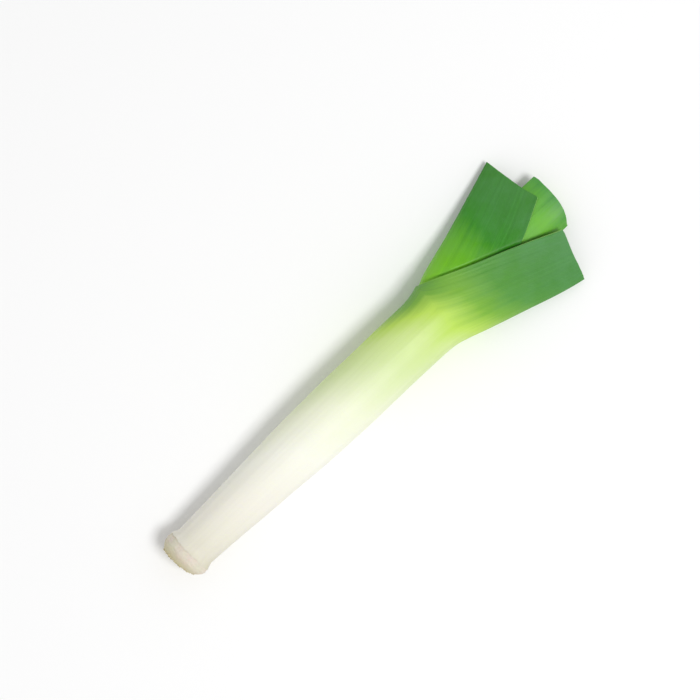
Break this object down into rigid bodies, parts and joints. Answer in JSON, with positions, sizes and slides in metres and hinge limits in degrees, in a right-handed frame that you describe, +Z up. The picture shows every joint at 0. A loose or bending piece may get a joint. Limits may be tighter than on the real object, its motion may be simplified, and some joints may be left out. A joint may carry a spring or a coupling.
{
  "type": "leek",
  "caption": "Trimmed leek lying down: a white shaft with its root plate, and folded green leaves spread in a flat fan and cut short.",
  "frame": {"origin": "the middle of the flat spot that the shaft rests on, on the surface", "axes": "+X from the roots to the leaves, +Y to the side of the second leaf, +Z up"},
  "size_m": [0.3297, 0.0959, 0.0397],
  "materials": {
    "root_plate": "dull, fibrous, cream with tan cut roots",
    "outer_leaf": "waxy satin, white at the root through pale yellow-green to mid green",
    "left_leaf": "waxy satin, dark green",
    "middle_leaf": "waxy satin, light green",
    "inner_leaves": "waxy satin, pale yellow-green"
  },
  "bodies": {
    "root": {"root_plate": "root_plate", "leaf_1_outer": "outer_leaf", "leaf_2_left": "left_leaf", "leaf_3_middle": "middle_leaf", "leaf_4_inner_left": "inner_leaves", "leaf_5_inner_right": "inner_leaves", "leaf_6_heart": "inner_leaves"}
  },
  "joints": []
}
